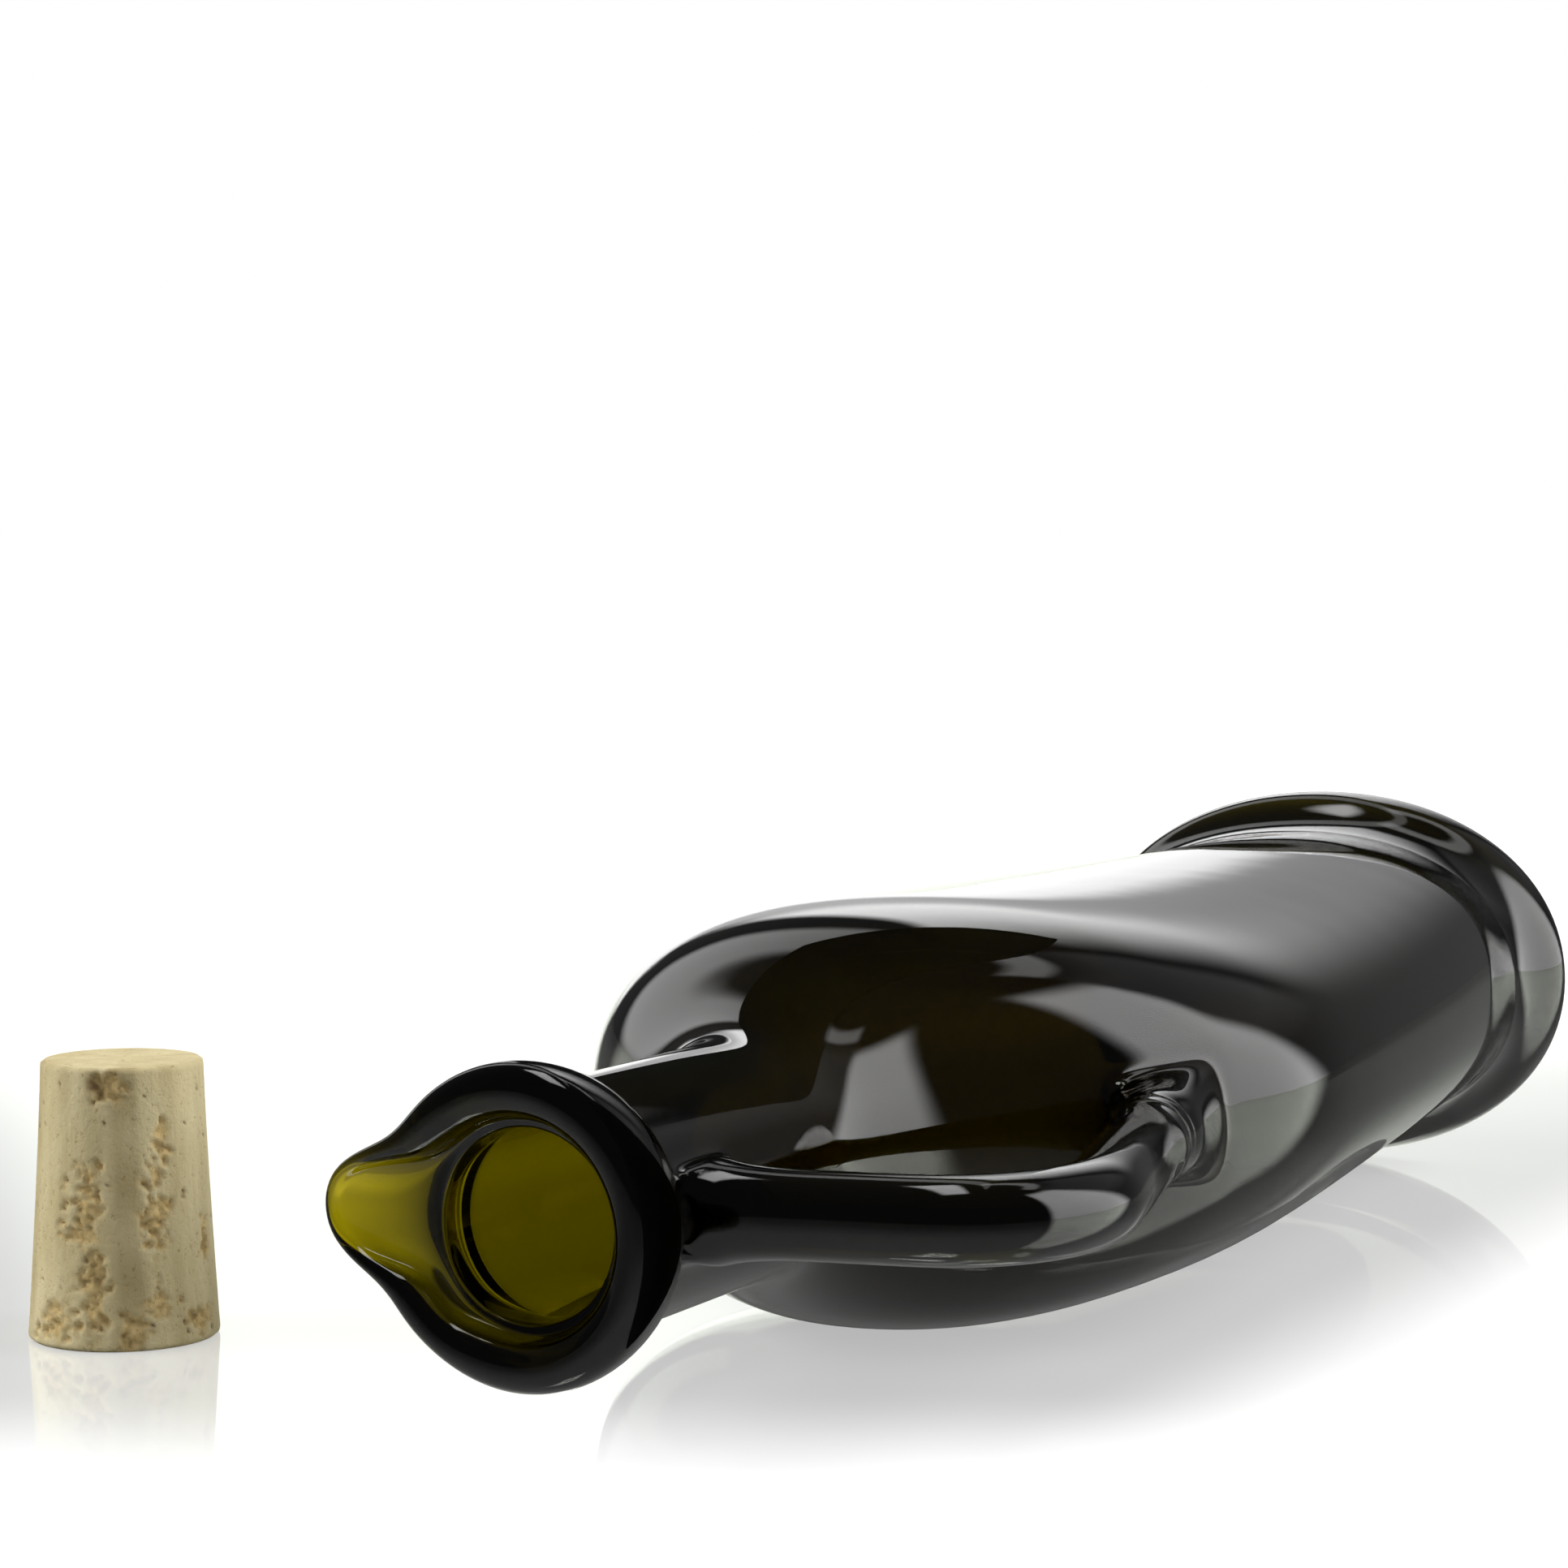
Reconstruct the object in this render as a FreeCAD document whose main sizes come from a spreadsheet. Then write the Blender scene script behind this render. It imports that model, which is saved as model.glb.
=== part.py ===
import FreeCAD, Part
import math
import os

# Oval glass oil bottle lying on its side, with its cork standing beside it.
# The bottle is built on its own axis: x runs from the mouth to the foot, the handle is on -y and
# the pouring spout on +y. Laying it down is the last step, when belly and foot are set on z = 0.

doc = FreeCAD.newDocument("oval_glass_bottle")
sheet = doc.addObject("Spreadsheet::Sheet", "Sizes")
sheet.Label = "Sizes"


# How each stretch of the profile swells or narrows, as a share of its own length.

def doming(share):
    """Neck to shoulder: a soft hollow turn, then a dome."""
    return 1 - (1 - share ** 1.75) ** 3.2


def narrowing(share):
    """Shoulder to waist, across."""
    return share ** 1.3


def flaring(share):
    """Waist to foot."""
    return math.sin(math.pi / 2 * share ** 1.7) ** 2


def rounding(share):
    """A quarter turn, for the edge of the foot and the floor inside."""
    return 1 - math.sqrt(1 - share ** 2)


# Places on the shoulder, as shares of its length: where it is deepest, and where the handle lands.
BELLY = 0.64
LANDING = 0.56
THINNING = 2.1

SIZES = [
    # neck and lip
    ("neck_radius", "12.3"),
    ("neck_length", "40"),
    ("neck_wall", "3.2"),
    ("lip_step", "0.6"),
    ("lip_bead", "2.5"),
    # spout
    ("spout_overhang", "5.9"),
    ("spout_bend", "3.6"),
    ("spout_blend", "8"),
    ("spout_floor", "1.5"),
    ("spout_sink", "1"),
    # body
    ("bottle_length", "212"),
    ("shoulder_length", "58"),
    ("shoulder_half_width", "44"),
    ("belly_half_depth", "23.5"),
    ("waist_half_width", "31.6"),
    ("waist_half_depth", "20.2"),
    ("foot_height", "17"),
    ("foot_edge", "3.2"),
    ("foot_half_width", "35"),
    ("foot_half_depth", "25.7"),
    ("wall", "3"),
    ("slope_wall", "2"),
    ("base_thickness", "7"),
    ("base_recess", "2.5"),
    ("standing_ring", "7"),
    # handle
    ("rod_radius", "4.2"),
    ("handle_station", "12.4"),
    ("handle_reach", "46.6"),
    ("handle_turn", "11.6"),
    ("root_swell", "1.4"),
    ("root_length", "7"),
    ("pad_swell", "2.2"),
    ("pad_back", "6"),
    # cork
    ("cork_clearance", "0.4"),
    ("cork_taper", "1.6"),
    ("cork_height", "30"),
    ("cork_edge", "0.5"),
    ("cork_ahead", "30"),
    ("cork_gap", "15.7"),
    # resting pose
    ("roll_deg", "2.5"),
    ("flat_depth", "0.35"),
    # where the whole group stands, set once it has been measured
    ("frame_x", "0"),
    ("frame_y", "0"),
]
WORKED_OUT = [
    ("bore_radius", "=neck_radius - neck_wall"),
    ("mid_wall", "=neck_radius - neck_wall / 2"),
    ("lip_ring", "=neck_radius + lip_step"),
    ("shoulder_station", "=neck_length + shoulder_length"),
    ("waist_station", "=bottle_length - foot_height"),
    ("foot_station", "=bottle_length - foot_edge"),
    # the rim of the spout: a small arc at the tip, led into the lip's ring by an arc on each side
    ("tip_y", "=lip_ring + spout_overhang - spout_bend"),
    ("ring_to_blend", "=lip_ring + spout_blend"),
    ("tip_to_blend", "=spout_bend + spout_blend"),
    ("blend_y", "=(ring_to_blend^2 - tip_to_blend^2 + tip_y^2) / (2 * tip_y)"),
    ("blend_z", "=sqrt(ring_to_blend^2 - blend_y^2)"),
    ("ring_angle", "=atan2(blend_z; blend_y) / 1 deg"),
    ("tip_angle", "=atan2(blend_z; blend_y - tip_y) / 1 deg"),
    ("web_y", "=lip_ring * blend_y / ring_to_blend"),
    ("web_half_width", "=lip_ring * blend_z / ring_to_blend"),
    # the lower arm of the handle leaves the bend and ends inside the glass of the shoulder
    ("bend_x", "=handle_station + handle_turn"),
    ("bend_y", "=handle_reach - handle_turn"),
    ("landing_x", "=neck_length + shoulder_length * %.5f" % LANDING),
    ("landing_y", "=neck_radius + (shoulder_half_width - neck_radius) * %.5f - wall" % doming(LANDING)),
    ("landing_far", "=sqrt((landing_x - bend_x)^2 + (landing_y - bend_y)^2)"),
    ("lean_deg", "=(atan2(bend_y - landing_y; landing_x - bend_x) + asin(handle_turn / landing_far)) / 1 deg"),
    ("lower_arm", "=sqrt(landing_far^2 - handle_turn^2)"),
    ("lower_x", "=bend_x + handle_turn * sin(lean_deg * 1 deg)"),
    ("lower_y", "=bend_y + handle_turn * cos(lean_deg * 1 deg)"),
    ("pad_x", "=lower_x + (lower_arm - pad_back) * cos(lean_deg * 1 deg)"),
    ("pad_y", "=lower_y - (lower_arm - pad_back) * sin(lean_deg * 1 deg)"),
    # the cork fits the bore and stands clear of the shoulder
    ("cork_high_radius", "=bore_radius - cork_clearance"),
    ("cork_low_radius", "=cork_high_radius + cork_taper"),
    ("cork_y", "=shoulder_half_width + cork_gap + cork_low_radius"),
    # belly and foot both touch the floor
    ("belly_station", "=neck_length + shoulder_length * %.5f" % BELLY),
    ("belly_half_width", "=neck_radius + (shoulder_half_width - neck_radius) * %.5f" % doming(BELLY)),
    ("belly_rise", "=sqrt((belly_half_width * sin(roll_deg * 1 deg))^2"
                   " + (belly_half_depth * cos(roll_deg * 1 deg))^2)"),
    ("foot_rise", "=sqrt((foot_half_width * sin(roll_deg * 1 deg))^2"
                  " + (foot_half_depth * cos(roll_deg * 1 deg))^2)"),
    ("tilt_sine", "=(foot_rise - belly_rise) / (foot_station - belly_station)"),
    ("mouth_rise", "=belly_rise - belly_station * tilt_sine - flat_depth"),
]
CELL = {}
for row, (name, value) in enumerate(SIZES + WORKED_OUT, start=1):
    CELL[name] = "B%d" % row
    sheet.set("A%d" % row, name)
    sheet.setAlias(CELL[name], name)
for name, value in SIZES + WORKED_OUT:
    sheet.set(CELL[name], value)
doc.recompute()


def made(kind, name, placed=None, **sizes):
    """One primitive, its sizes and its place tied to the sheet."""
    item = doc.addObject(kind, name)
    item.Label = name.replace("_", " ")
    for prop, formula in sizes.items():
        item.setExpression(prop, formula)
    if placed:
        item.setExpression("Placement", placed)
    return item


def joined(kind, name, **links):
    """One object made from others."""
    item = doc.addObject(kind, name)
    item.Label = name.replace("_", " ")
    for prop, link in links.items():
        setattr(item, prop, link)
    return item


def at(x, y, z, turn="0; 0; 0"):
    return "placement(vector(%s; %s; %s); rotation(%s))" % (x, y, z, turn)


def between(low, high, share):
    return "(%s + (%s - %s) * %.5f)" % (low, high, low, share)


ACROSS = FreeCAD.Placement(FreeCAD.Vector(0, 0, 0), FreeCAD.Rotation(FreeCAD.Vector(1, 1, 1), 120))


def oval(name, station, half_width, half_depth):
    """An oval across the bottle's axis, its long way along y."""
    ring = made("Part::Ellipse", name)
    ring.Placement = ACROSS
    ring.setExpression("Placement.Base.x", station)
    ring.setExpression("MinorRadius", half_depth)
    ring.setExpression("MajorRadius", half_width)
    return ring


NECK = "Sizes.neck_radius"
BORE = "Sizes.bore_radius"
SHOULDER_WIDTH = "Sizes.shoulder_half_width"
WAIST_WIDTH = "Sizes.waist_half_width"
BELLY_DEPTH = "Sizes.belly_half_depth"
WAIST_DEPTH = "Sizes.waist_half_depth"


def body_rings(name, skin):
    """Ovals from the end of the neck to the waist, the given thickness of glass inside the outside."""
    start = BORE if skin else NECK
    rings = [oval(name + "_0", "Sizes.neck_length", start, start)]
    for share in (0.07, 0.14, 0.22, 0.31, 0.41, 0.51, BELLY, 0.80, 1.0):
        station = between("Sizes.neck_length", "Sizes.shoulder_station", share)
        width = between(NECK, SHOULDER_WIDTH, doming(share))
        depth = between(NECK, BELLY_DEPTH, doming(min(1, share / BELLY)))
        if share > BELLY:
            depth = thinned(station)
        if skin:
            station = "%s + Sizes.slope_wall * %.5f" % (station, 1 - share)
        rings.append(oval("%s_%d" % (name, len(rings)), station, width + skin, depth + skin))
    for share in (0.16, 0.34, 0.53, 0.71, 0.87, 1.0):
        station = between("Sizes.shoulder_station", "Sizes.waist_station", share)
        width = between(SHOULDER_WIDTH, WAIST_WIDTH, narrowing(share))
        rings.append(oval("%s_%d" % (name, len(rings)), station, width + skin, thinned(station) + skin))
    return rings


def thinned(station):
    """Half depth past the belly, falling quickly at first and then hardly at all."""
    gone = "(%s - Sizes.belly_station) / (Sizes.waist_station - Sizes.belly_station)" % station
    return "(%s + (%s - %s) * (1 - min(1; %s))^%g)" % (WAIST_DEPTH, BELLY_DEPTH, WAIST_DEPTH, gone, THINNING)


# The glass outside: a plain tube of a neck, the body, and the foot flaring out to a rounded edge.
neck = made("Part::Cylinder", "neck_outside", at(0, 0, 0, "0; 90; 0"),
            Radius=NECK, Height="Sizes.neck_length")
body = joined("Part::Loft", "body_outside", Sections=body_rings("outside", ""), Solid=True)
foot_rings = [oval("foot_0", "Sizes.waist_station", WAIST_WIDTH, WAIST_DEPTH)]
for share in (0.32, 0.55, 0.72, 0.86, 1.0):
    foot_rings.append(oval("foot_%d" % len(foot_rings),
                           between("Sizes.waist_station", "Sizes.foot_station", share),
                           between(WAIST_WIDTH, "Sizes.foot_half_width", flaring(share)),
                           between(WAIST_DEPTH, "Sizes.foot_half_depth", flaring(share))))
for share in (0.45, 0.80, 1.0):
    foot_rings.append(oval("foot_%d" % len(foot_rings),
                           between("Sizes.foot_station", "Sizes.bottle_length", share),
                           "Sizes.foot_half_width - Sizes.foot_edge * %.5f" % rounding(share),
                           "Sizes.foot_half_depth - Sizes.foot_edge * %.5f" % rounding(share)))
foot = joined("Part::Loft", "foot_outside", Sections=foot_rings, Solid=True)

# The hollow: the bore, the body one wall further in, and a rounded floor over thick glass. Under
# the foot is the shallow hollow that leaves only a ring of glass to stand on.
bore = made("Part::Cylinder", "neck_bore", at("-2 * Sizes.lip_bead", 0, 0, "0; 90; 0"),
            Radius=BORE, Height="Sizes.neck_length + 2 * Sizes.lip_bead")
chamber = joined("Part::Loft", "body_inside", Sections=body_rings("inside", " - Sizes.wall"), Solid=True)
floor_rings = [oval("floor_0", "Sizes.waist_station", WAIST_WIDTH + " - Sizes.wall",
                    WAIST_DEPTH + " - Sizes.wall")]
for share in (0.45, 0.75, 0.92, 1.0):
    curl = "(%s - Sizes.wall) * %.5f" % (WAIST_DEPTH, 0.6 * rounding(share))
    floor_rings.append(oval("floor_%d" % len(floor_rings),
                            between("Sizes.waist_station", "(Sizes.bottle_length - Sizes.base_thickness)", share),
                            "%s - Sizes.wall - %s" % (WAIST_WIDTH, curl),
                            "%s - Sizes.wall - %s" % (WAIST_DEPTH, curl)))
inside_floor = joined("Part::Loft", "floor_inside", Sections=floor_rings, Solid=True)
recess = made("Part::Ellipsoid", "base_recess", at("Sizes.bottle_length", 0, 0),
              Radius2="Sizes.base_recess",
              Radius3="Sizes.foot_half_width - Sizes.standing_ring",
              Radius1="Sizes.foot_half_depth - Sizes.standing_ring")
hollow = joined("Part::MultiFuse", "hollow", Shapes=[bore, chamber, inside_floor, recess])


def bead(name, y, z, radius, first, sweep):
    """An arc of the lip's bead in the plane of the mouth, by angle from +y towards +z."""
    placed = ("placement(vector(0; %s; %s); rotation(vector(1; 1; 1); 120)) * rotation(vector(0; 0; 1); %s)"
              % (y, z, first))
    return made("Part::Torus", name, placed, Radius1=radius, Radius2="Sizes.lip_bead", Angle3=sweep)


# The lip: a round bead whose ring runs out along one side of the spout and back along the other,
# with a web of thinner glass between them, set a little lower to make the pouring channel.
lip = [
    bead("lip_ring", 0, 0, "Sizes.lip_ring", "Sizes.ring_angle", "360 - 2 * Sizes.ring_angle"),
    bead("spout_tip", "Sizes.tip_y", 0, "Sizes.spout_bend", "-Sizes.tip_angle", "2 * Sizes.tip_angle"),
    bead("spout_side_high", "Sizes.blend_y", "Sizes.blend_z", "Sizes.spout_blend",
         "180 + Sizes.ring_angle", "Sizes.tip_angle - Sizes.ring_angle"),
    bead("spout_side_low", "Sizes.blend_y", "-Sizes.blend_z", "Sizes.spout_blend",
         "180 - Sizes.tip_angle", "Sizes.tip_angle - Sizes.ring_angle"),
    made("Part::Ellipsoid", "spout_web", at("Sizes.spout_sink", "Sizes.web_y", 0),
         Radius2="Sizes.spout_floor", Radius1="Sizes.web_half_width",
         Radius3="Sizes.tip_y + Sizes.spout_bend - Sizes.web_y"),
]

# The handle: one round rod of solid glass, straight out from the neck, round a bend, and back in to
# the shoulder, swollen where each end was pressed on.
handle = [
    made("Part::Cylinder", "handle_upper_arm", at("Sizes.handle_station", "-Sizes.mid_wall", 0, "0; 0; 90"),
         Radius="Sizes.rod_radius", Height="Sizes.bend_y - Sizes.mid_wall"),
    made("Part::Cone", "handle_root", at("Sizes.handle_station", "-Sizes.mid_wall", 0, "0; 0; 90"),
         Radius1="Sizes.rod_radius + Sizes.root_swell", Radius2="Sizes.rod_radius",
         Height="Sizes.root_length"),
    made("Part::Torus", "handle_bend", at("Sizes.bend_x", "-Sizes.bend_y", 0, "180; 0; 0"),
         Radius1="Sizes.handle_turn", Radius2="Sizes.rod_radius", Angle3="90 + Sizes.lean_deg"),
    made("Part::Cylinder", "handle_lower_arm",
         at("Sizes.lower_x", "-Sizes.lower_y", 0, "Sizes.lean_deg; 90; 0"),
         Radius="Sizes.rod_radius", Height="Sizes.lower_arm"),
    made("Part::Sphere", "handle_pad", at("Sizes.pad_x", "-Sizes.pad_y", 0),
         Radius="Sizes.rod_radius + Sizes.pad_swell"),
]

# One piece of glass: everything fused, the hollow taken out, laid down and flattened where it rests.
glass = joined("Part::MultiFuse", "glass_solid", Shapes=[neck, body, foot] + lip + handle)
laid = joined("Part::Cut", "glass_laid", Base=glass, Tool=hollow)
laid.setExpression("Placement", at("Sizes.frame_x", "Sizes.frame_y", "Sizes.mouth_rise",
                                   "0; -asin(Sizes.tilt_sine) / 1 deg; -Sizes.roll_deg"))
below = made("Part::Box", "below_the_floor",
             at("-2 * Sizes.bottle_length", "-2 * Sizes.bottle_length", "-Sizes.foot_half_width"),
             Length="4 * Sizes.bottle_length", Width="4 * Sizes.bottle_length",
             Height="Sizes.foot_half_width")
bottle = joined("Part::Cut", "bottle", Base=laid, Tool=below)

# The cork: a plain tapered stopper standing on its wide end, its edges a little worn.
blank = made("Part::Cone", "cork_blank",
             at("Sizes.frame_x + Sizes.cork_ahead", "Sizes.frame_y + Sizes.cork_y", 0),
             Radius1="Sizes.cork_low_radius", Radius2="Sizes.cork_high_radius",
             Height="Sizes.cork_height")
doc.recompute()
worn = float(sheet.get(CELL["cork_edge"]))
rims = [number for number, edge in enumerate(blank.Shape.Edges, start=1) if edge.Closed]
cork = joined("Part::Chamfer", "cork", Base=blank, Edges=[(number, worn, worn) for number in rims])
doc.recompute()


def extent(*shapes):
    """The box around the trimmed surfaces, measured on a fine mesh of them."""
    box = FreeCAD.BoundBox()
    for shape in shapes:
        for point in shape.tessellate(0.02)[0]:
            box.add(point)
    return box


# The frame's origin is the middle of the whole group's footprint.
whole = extent(bottle.Shape, cork.Shape)
sheet.set(CELL["frame_x"], "%.4f" % -whole.Center.x)
sheet.set(CELL["frame_y"], "%.4f" % -whole.Center.y)
doc.recompute()

for item in doc.Objects:
    for word in ("Invalid", "Error"):
        if word in item.State:
            raise RuntimeError("%s is %s" % (item.Name, item.State))
    if hasattr(item, "Shape"):
        if item.Shape.isNull() or not item.Shape.isValid():
            raise RuntimeError("%s has no sound shape" % item.Name)

os.makedirs("parts", exist_ok=True)
for node in (bottle, cork):
    if len(node.Shape.Solids) != 1:
        raise RuntimeError("%s is %d solids" % (node.Name, len(node.Shape.Solids)))
    node.Shape.exportStep("parts/%s.step" % node.Name)
    box = extent(node.Shape)
    print("%s: %.1f mm3, %d faces" % (node.Name, node.Shape.Volume, len(node.Shape.Faces)))
    print("  x %.2f %.2f  y %.2f %.2f  z %.2f %.2f"
          % (box.XMin, box.XMax, box.YMin, box.YMax, box.ZMin, box.ZMax))
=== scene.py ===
import math

import bmesh
import bpy
from mathutils import Matrix, Vector, noise


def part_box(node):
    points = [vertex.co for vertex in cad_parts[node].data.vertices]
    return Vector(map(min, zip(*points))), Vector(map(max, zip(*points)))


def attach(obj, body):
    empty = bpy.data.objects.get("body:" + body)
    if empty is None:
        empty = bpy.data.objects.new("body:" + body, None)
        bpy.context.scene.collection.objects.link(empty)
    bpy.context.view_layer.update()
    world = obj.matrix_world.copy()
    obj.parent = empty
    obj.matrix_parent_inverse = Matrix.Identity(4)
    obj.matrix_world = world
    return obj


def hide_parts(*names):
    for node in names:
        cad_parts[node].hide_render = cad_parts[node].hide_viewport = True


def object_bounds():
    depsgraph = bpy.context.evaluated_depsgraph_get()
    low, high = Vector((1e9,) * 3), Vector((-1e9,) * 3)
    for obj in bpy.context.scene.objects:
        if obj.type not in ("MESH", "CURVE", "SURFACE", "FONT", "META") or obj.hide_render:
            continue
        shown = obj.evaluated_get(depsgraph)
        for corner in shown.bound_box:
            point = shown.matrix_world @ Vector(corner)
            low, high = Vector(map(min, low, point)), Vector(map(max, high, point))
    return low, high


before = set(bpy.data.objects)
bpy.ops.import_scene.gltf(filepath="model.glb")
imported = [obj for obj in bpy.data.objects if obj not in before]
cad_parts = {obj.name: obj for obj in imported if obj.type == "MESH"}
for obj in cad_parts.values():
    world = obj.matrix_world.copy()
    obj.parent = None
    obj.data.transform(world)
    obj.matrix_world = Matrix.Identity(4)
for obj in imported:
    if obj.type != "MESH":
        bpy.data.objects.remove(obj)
cad_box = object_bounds()


# ---------------------------------------------------------------------------------------------
# The bottle, foot and body. One piece of dark olive glass blown into an oval mould, with a flared
# foot and a thick bottom. It is drawn from the hollow under the foot towards the mouth, in
# millimetres on its own axis: x from mouth to foot, y towards the spout, z up.

AROUND = 32
neck_radius, neck_length, bore_radius = 12.3, 40.0, 9.1
shoulder_length, shoulder_half_width, belly_half_depth = 58.0, 44.0, 23.4
fullest, width_fall, depth_fall = 0.64, 1.3, 2.1
round_until, square_from, body_squareness = 46.0, 72.0, 2.3
waist_half_width, waist_half_depth, waist_station, waist_squareness = 31.6, 20.3, 195.0, 2.2
foot_station, foot_half_width, foot_half_depth, foot_edge, foot_squareness = 208.8, 35.0, 25.5, 3.2, 2.1
bottle_length, base_recess, recess_inset, base_thickness, wall = 212.0, 2.5, 7.0, 7.0, 3.0


def clipped(value):
    return min(1, max(0, value))


def mixed(first, second, share):
    return first + (second - first) * share


def doming(share):
    return 1 - (1 - share ** 1.75) ** 3.2


def flaring(share):
    return math.sin(math.pi / 2 * share ** 1.7) ** 2


def rounding(share):
    return 1 - math.sqrt(1 - share ** 2)


def squareness(station):
    """The neck is round, with a power of 2, and the body is an oval with fuller corners."""
    share = clipped((station - round_until) / (square_from - round_until))
    return mixed(2, body_squareness, share * share * (3 - 2 * share))


def swelling(gap):
    """How much wider a ring is drawn, from the angle between its points, because smoothing shrinks it."""
    return 3 / (2 + math.cos(gap))


def oval(station, half_width, half_depth, square=2.0):
    """Places round one oval, from the spout side upwards."""
    places = []
    for step in range(AROUND):
        c, s = math.cos(math.tau * step / AROUND), math.sin(math.tau * step / AROUND)
        reach = (abs(c) ** square + abs(s) ** square) ** (-1 / square) * swelling(math.tau / AROUND)
        places.append(Vector((station, half_width * reach * c, half_depth * reach * s)))
    return places


def outside(station):
    """Half width and half depth of the outside between the neck and the waist."""
    share = (station - neck_length) / shoulder_length
    if share <= 0:
        return neck_radius, neck_radius
    width = mixed(neck_radius, shoulder_half_width, doming(min(1, share)))
    if share > 1:
        down = (station - neck_length - shoulder_length) / (waist_station - neck_length - shoulder_length)
        width += (waist_half_width - shoulder_half_width) * down ** width_fall
    depth = mixed(neck_radius, belly_half_depth, doming(min(1, share / fullest)))
    if share > fullest:
        deepest = neck_length + fullest * shoulder_length
        left = 1 - (station - deepest) / (waist_station - deepest)
        depth = mixed(waist_half_depth, belly_half_depth, left ** depth_fall)
    return width, depth


def disc(mesh, places):
    """A flat face with its points at these places, and the loop round it."""
    bmesh.ops.create_circle(mesh, cap_ends=True, segments=len(places), radius=1)
    mesh.verts.ensure_lookup_table()
    loop = list(mesh.verts)
    for vert, place in zip(loop, places):
        vert.co = place
    return loop


def grow(mesh, loop, places):
    """Draws an edge loop out to new places and gives the loop that it became."""
    edges = [mesh.edges.get((a, b)) for a, b in zip(loop, loop[1:] + loop[:1])]
    made = bmesh.ops.extrude_edge_only(mesh, edges=edges)["geom"]
    at = {tuple(v.co): v for v in made if isinstance(v, bmesh.types.BMVert)}
    drawn = [at[tuple(v.co)] for v in loop]
    for vert, place in zip(drawn, places):
        vert.co = place
    return drawn


glass = bmesh.new()
recess_width, recess_depth = foot_half_width - recess_inset, foot_half_depth - recess_inset
loop = disc(glass, oval(bottle_length - base_recess, 0.3 * recess_width, 0.3 * recess_depth))
for share in (0.6, 0.85, 0.97):
    hollow = base_recess * math.sqrt(1 - share ** 2)
    loop = grow(glass, loop, oval(bottle_length - hollow, share * recess_width, share * recess_depth))
for inset in (6.2, 4.8, 3.5):
    loop = grow(glass, loop, oval(bottle_length, foot_half_width - inset, foot_half_depth - inset))
for turn in (35, 70, 95):
    out = foot_edge * (math.sin(math.radians(turn)) - 1)
    up = foot_edge * math.cos(math.radians(turn))
    loop = grow(glass, loop, oval(
        foot_station + up, foot_half_width + out, foot_half_depth + out, foot_squareness))
for share in (0.82, 0.66, 0.50, 0.32, 0.12):
    loop = grow(glass, loop, oval(
        mixed(waist_station, foot_station, share),
        mixed(waist_half_width, foot_half_width, flaring(share)),
        mixed(waist_half_depth, foot_half_depth, flaring(share)), waist_squareness))

# The rows of the body and neck. The handle lands on the shoulder's and takes root on the neck's.
LANDING = (62.4, 66.4, 70.4, 74.2, 78.0)
ROOT = (6.6, 9.5, 12.4, 15.3, 18.2)
stations = [190, 182, 172, 160, 147, 134, 121, 110, 100, 92, 85, *LANDING[::-1],
            59, 56, 53, 50.4, 48, 45.8, 43.4, 40, 35, 28, 22, *ROOT[::-1]]
row_at = {}
for station in stations:
    loop = grow(glass, loop, oval(station, *outside(station), squareness(station)))
    row_at[station] = loop


# ---------------------------------------------------------------------------------------------
# The lip and pouring spout. While the neck was still soft its end was turned over into a thick
# round bead, and the bead was drawn out to one side into a thin spout with a channel behind it.

lip_bead, bead_swell, lip_reach, spout_reach, spout_rise = 2.5, 1.07, 15.4, 6.95, 0.9
spout_turn = math.radians(4.0)
CROWDING = (0.08, 0.20, 0.32, 0.42, *[0.45] * 9, 0.42, 0.40, 0.34, 0.20, 0.08)


def near(turn, centre, spread, power=2.0):
    """1 at an angle on the lip, in degrees, falling to 0 either side of it."""
    away = (math.degrees(turn) - centre + 180) % 360 - 180
    return math.exp(-abs(away / spread) ** power)


def lip_section(turn):
    """Radius and station of each row at an angle on the lip: neck, bead, channel and bore."""
    thin = near(turn, 4, 19, 2.6)
    channel = near(turn, -7, 52, 8)
    bead = lip_bead - 0.4 * channel - 1.1 * thin
    centre = lip_reach + spout_reach * thin + 0.45 * near(turn, -32, 18) + 0.2 * near(turn, 4, 50) - bead
    rise = spout_rise * thin
    over = [(centre + bead_swell * bead * math.sin(math.radians(degrees)),
             rise + bead_swell * bead * math.cos(math.radians(degrees))) for degrees in (80, 114, 150, 188)]
    return [
        (mixed(neck_radius, 11.7, channel), mixed(7.0, 5.9, channel)),
        (mixed(12.6, 11.5, channel), mixed(6.4, 4.2, channel)),
        (mixed(13.3, mixed(12.6, centre, 0.28), thin), mixed(mixed(6.0, 5.0, channel), 3.1, thin)),
        (mixed(centre + 0.66 * bead, mixed(12.9, centre, 0.75), thin),
         mixed(mixed(5.0, 4.3, channel), rise + bead + 0.5, thin)),
        (centre + 0.96 * bead, rise + mixed(1.0, 0.62, thin) * bead),
        *over,
        (centre - 0.82 * bead, rise - mixed(0.75, 0.60, channel) * bead),
        (centre - bead - 0.05, mixed(-0.3, 0.25, channel)),
        (mixed(10.25, mixed(10.2, centre - bead, 0.62), channel), mixed(0.55, 0.75, channel)),
        (mixed(9.65, 10.0, channel), mixed(0.75, 0.78, channel)),
        (mixed(9.22, 9.4, channel), mixed(0.95, 0.86, channel)),
        (bore_radius, mixed(1.7, 1.35, channel)),
        (bore_radius, 3.2),
        (bore_radius, 8),
        (bore_radius, 15),
    ]


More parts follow.
